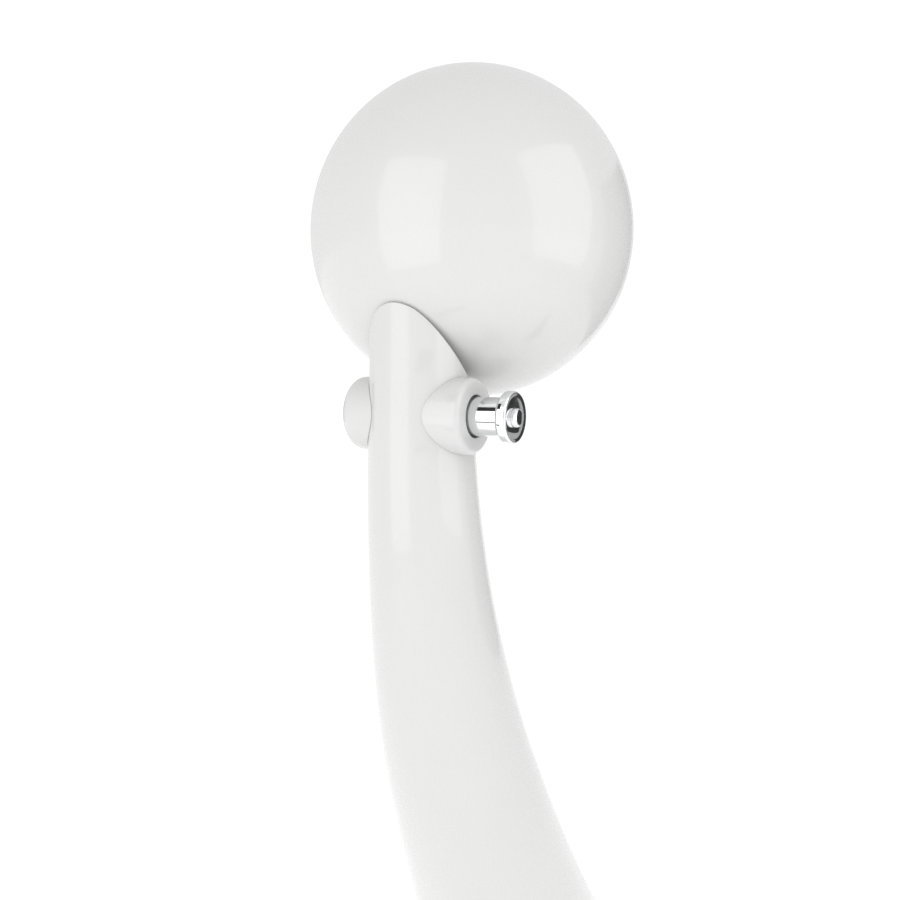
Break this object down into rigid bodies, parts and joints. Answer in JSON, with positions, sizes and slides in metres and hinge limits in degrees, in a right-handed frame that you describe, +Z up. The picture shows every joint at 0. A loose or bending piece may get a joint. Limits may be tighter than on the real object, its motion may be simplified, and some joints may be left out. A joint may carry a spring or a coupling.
{
  "type": "arc floor lamp",
  "caption": "White floor lamp with a tapered arc arm on a round weighted base and a tilting ball head held by a cross pivot with a chrome clamp knob.",
  "frame": {"origin": "centre of the base's underside, on the floor", "axes": "+Z up, +X forward (the way the head shines), the arm's arc lies in the XZ plane, the tilt axis runs along Y with the knob on -Y"},
  "size_m": [0.7167, 0.45, 1.2745],
  "materials": {
    "white_plastic": "glossy white moulded shell",
    "white_enamel": "glossy white stove enamel",
    "chrome_plate": "polished chrome plate",
    "zinc_steel": "zinc-plated steel",
    "black_iron": "rough casting",
    "satin_aluminium": "satin",
    "brown_fibre": "pressed fibre",
    "black_rubber": "matt",
    "black_bakelite": "moulded phenolic",
    "white_ceramic": "unglazed",
    "opal_glass": "opal",
    "white_cable": "soft cable sheath"
  },
  "bodies": {
    "stand": {"arm_shell_left": "white_plastic", "arm_shell_right": "white_plastic", "base_cover": "white_enamel", "right_boss": "white_enamel", "left_boss": "white_enamel", "left_end_cap": "chrome_plate", "switch_ring": "chrome_plate", "pivot_stud": "zinc_steel", "bottom_plate": "zinc_steel", "arm_foot_flange": "zinc_steel", "terminal_screw": "zinc_steel", "plate_screw_1": "zinc_steel", "plate_screw_2": "zinc_steel", "plate_screw_3": "zinc_steel", "plate_screw_4": "zinc_steel", "foot_bolt_1": "zinc_steel", "foot_bolt_2": "zinc_steel", "foot_bolt_3": "zinc_steel", "foot_bolt_4": "zinc_steel", "base_weight": "black_iron", "left_friction_washer": "brown_fibre", "right_friction_washer": "brown_fibre", "floor_pad": "black_rubber", "switch_body": "black_bakelite", "cable_gland": "black_bakelite", "gland_nut": "black_bakelite", "terminal_block": "white_ceramic", "arm_lead": "white_cable", "switch_lead": "white_cable"},
    "head": {"head_shell": "white_plastic", "rim_ring": "white_plastic", "inner_reflector": "satin_aluminium", "lamp_holder": "black_bakelite", "shade_ring": "black_bakelite", "holder_bolt": "zinc_steel", "holder_bracket": "zinc_steel", "bulb_cap": "satin_aluminium", "bulb_glass": "opal_glass", "tilt_hub": "satin_aluminium", "hub_backing_plate": "zinc_steel", "hub_screw_1": "zinc_steel", "hub_screw_2": "zinc_steel", "hub_screw_3": "zinc_steel", "hub_screw_4": "zinc_steel", "head_lead": "white_cable"},
    "clamp_carriage": {"thrust_washer": "zinc_steel"},
    "knob": {"clamp_knob": "chrome_plate", "knob_cap": "chrome_plate"},
    "switch_button": {"switch_button": "chrome_plate"}
  },
  "joints": [
    {"name": "head_tilt", "type": "hinge", "parent": "stand", "child": "head", "pos_m": [-0.43971, 0, 0.96288], "axis": [0, 1, 0], "range_deg": [0, 40]},
    {"name": "knob_travel", "type": "slide", "parent": "stand", "child": "clamp_carriage", "axis": [0, -1, 0], "range_m": [0, 0.0015]},
    {"name": "knob_turn", "type": "hinge", "parent": "clamp_carriage", "child": "knob", "pos_m": [-0.43971, 0, 0.96288], "axis": [0, -1, 0], "range_deg": [0, 360]},
    {"name": "switch_press", "type": "slide", "parent": "stand", "child": "switch_button", "axis": [0, 0, -1], "range_m": [0, 0.004], "stiffness_N_per_m": 900, "springref_m": -0.003}
  ],
  "couplings": [
    {"joint": "knob_travel", "follows": "knob_turn", "m_per_rad": 0.0002387}
  ]
}
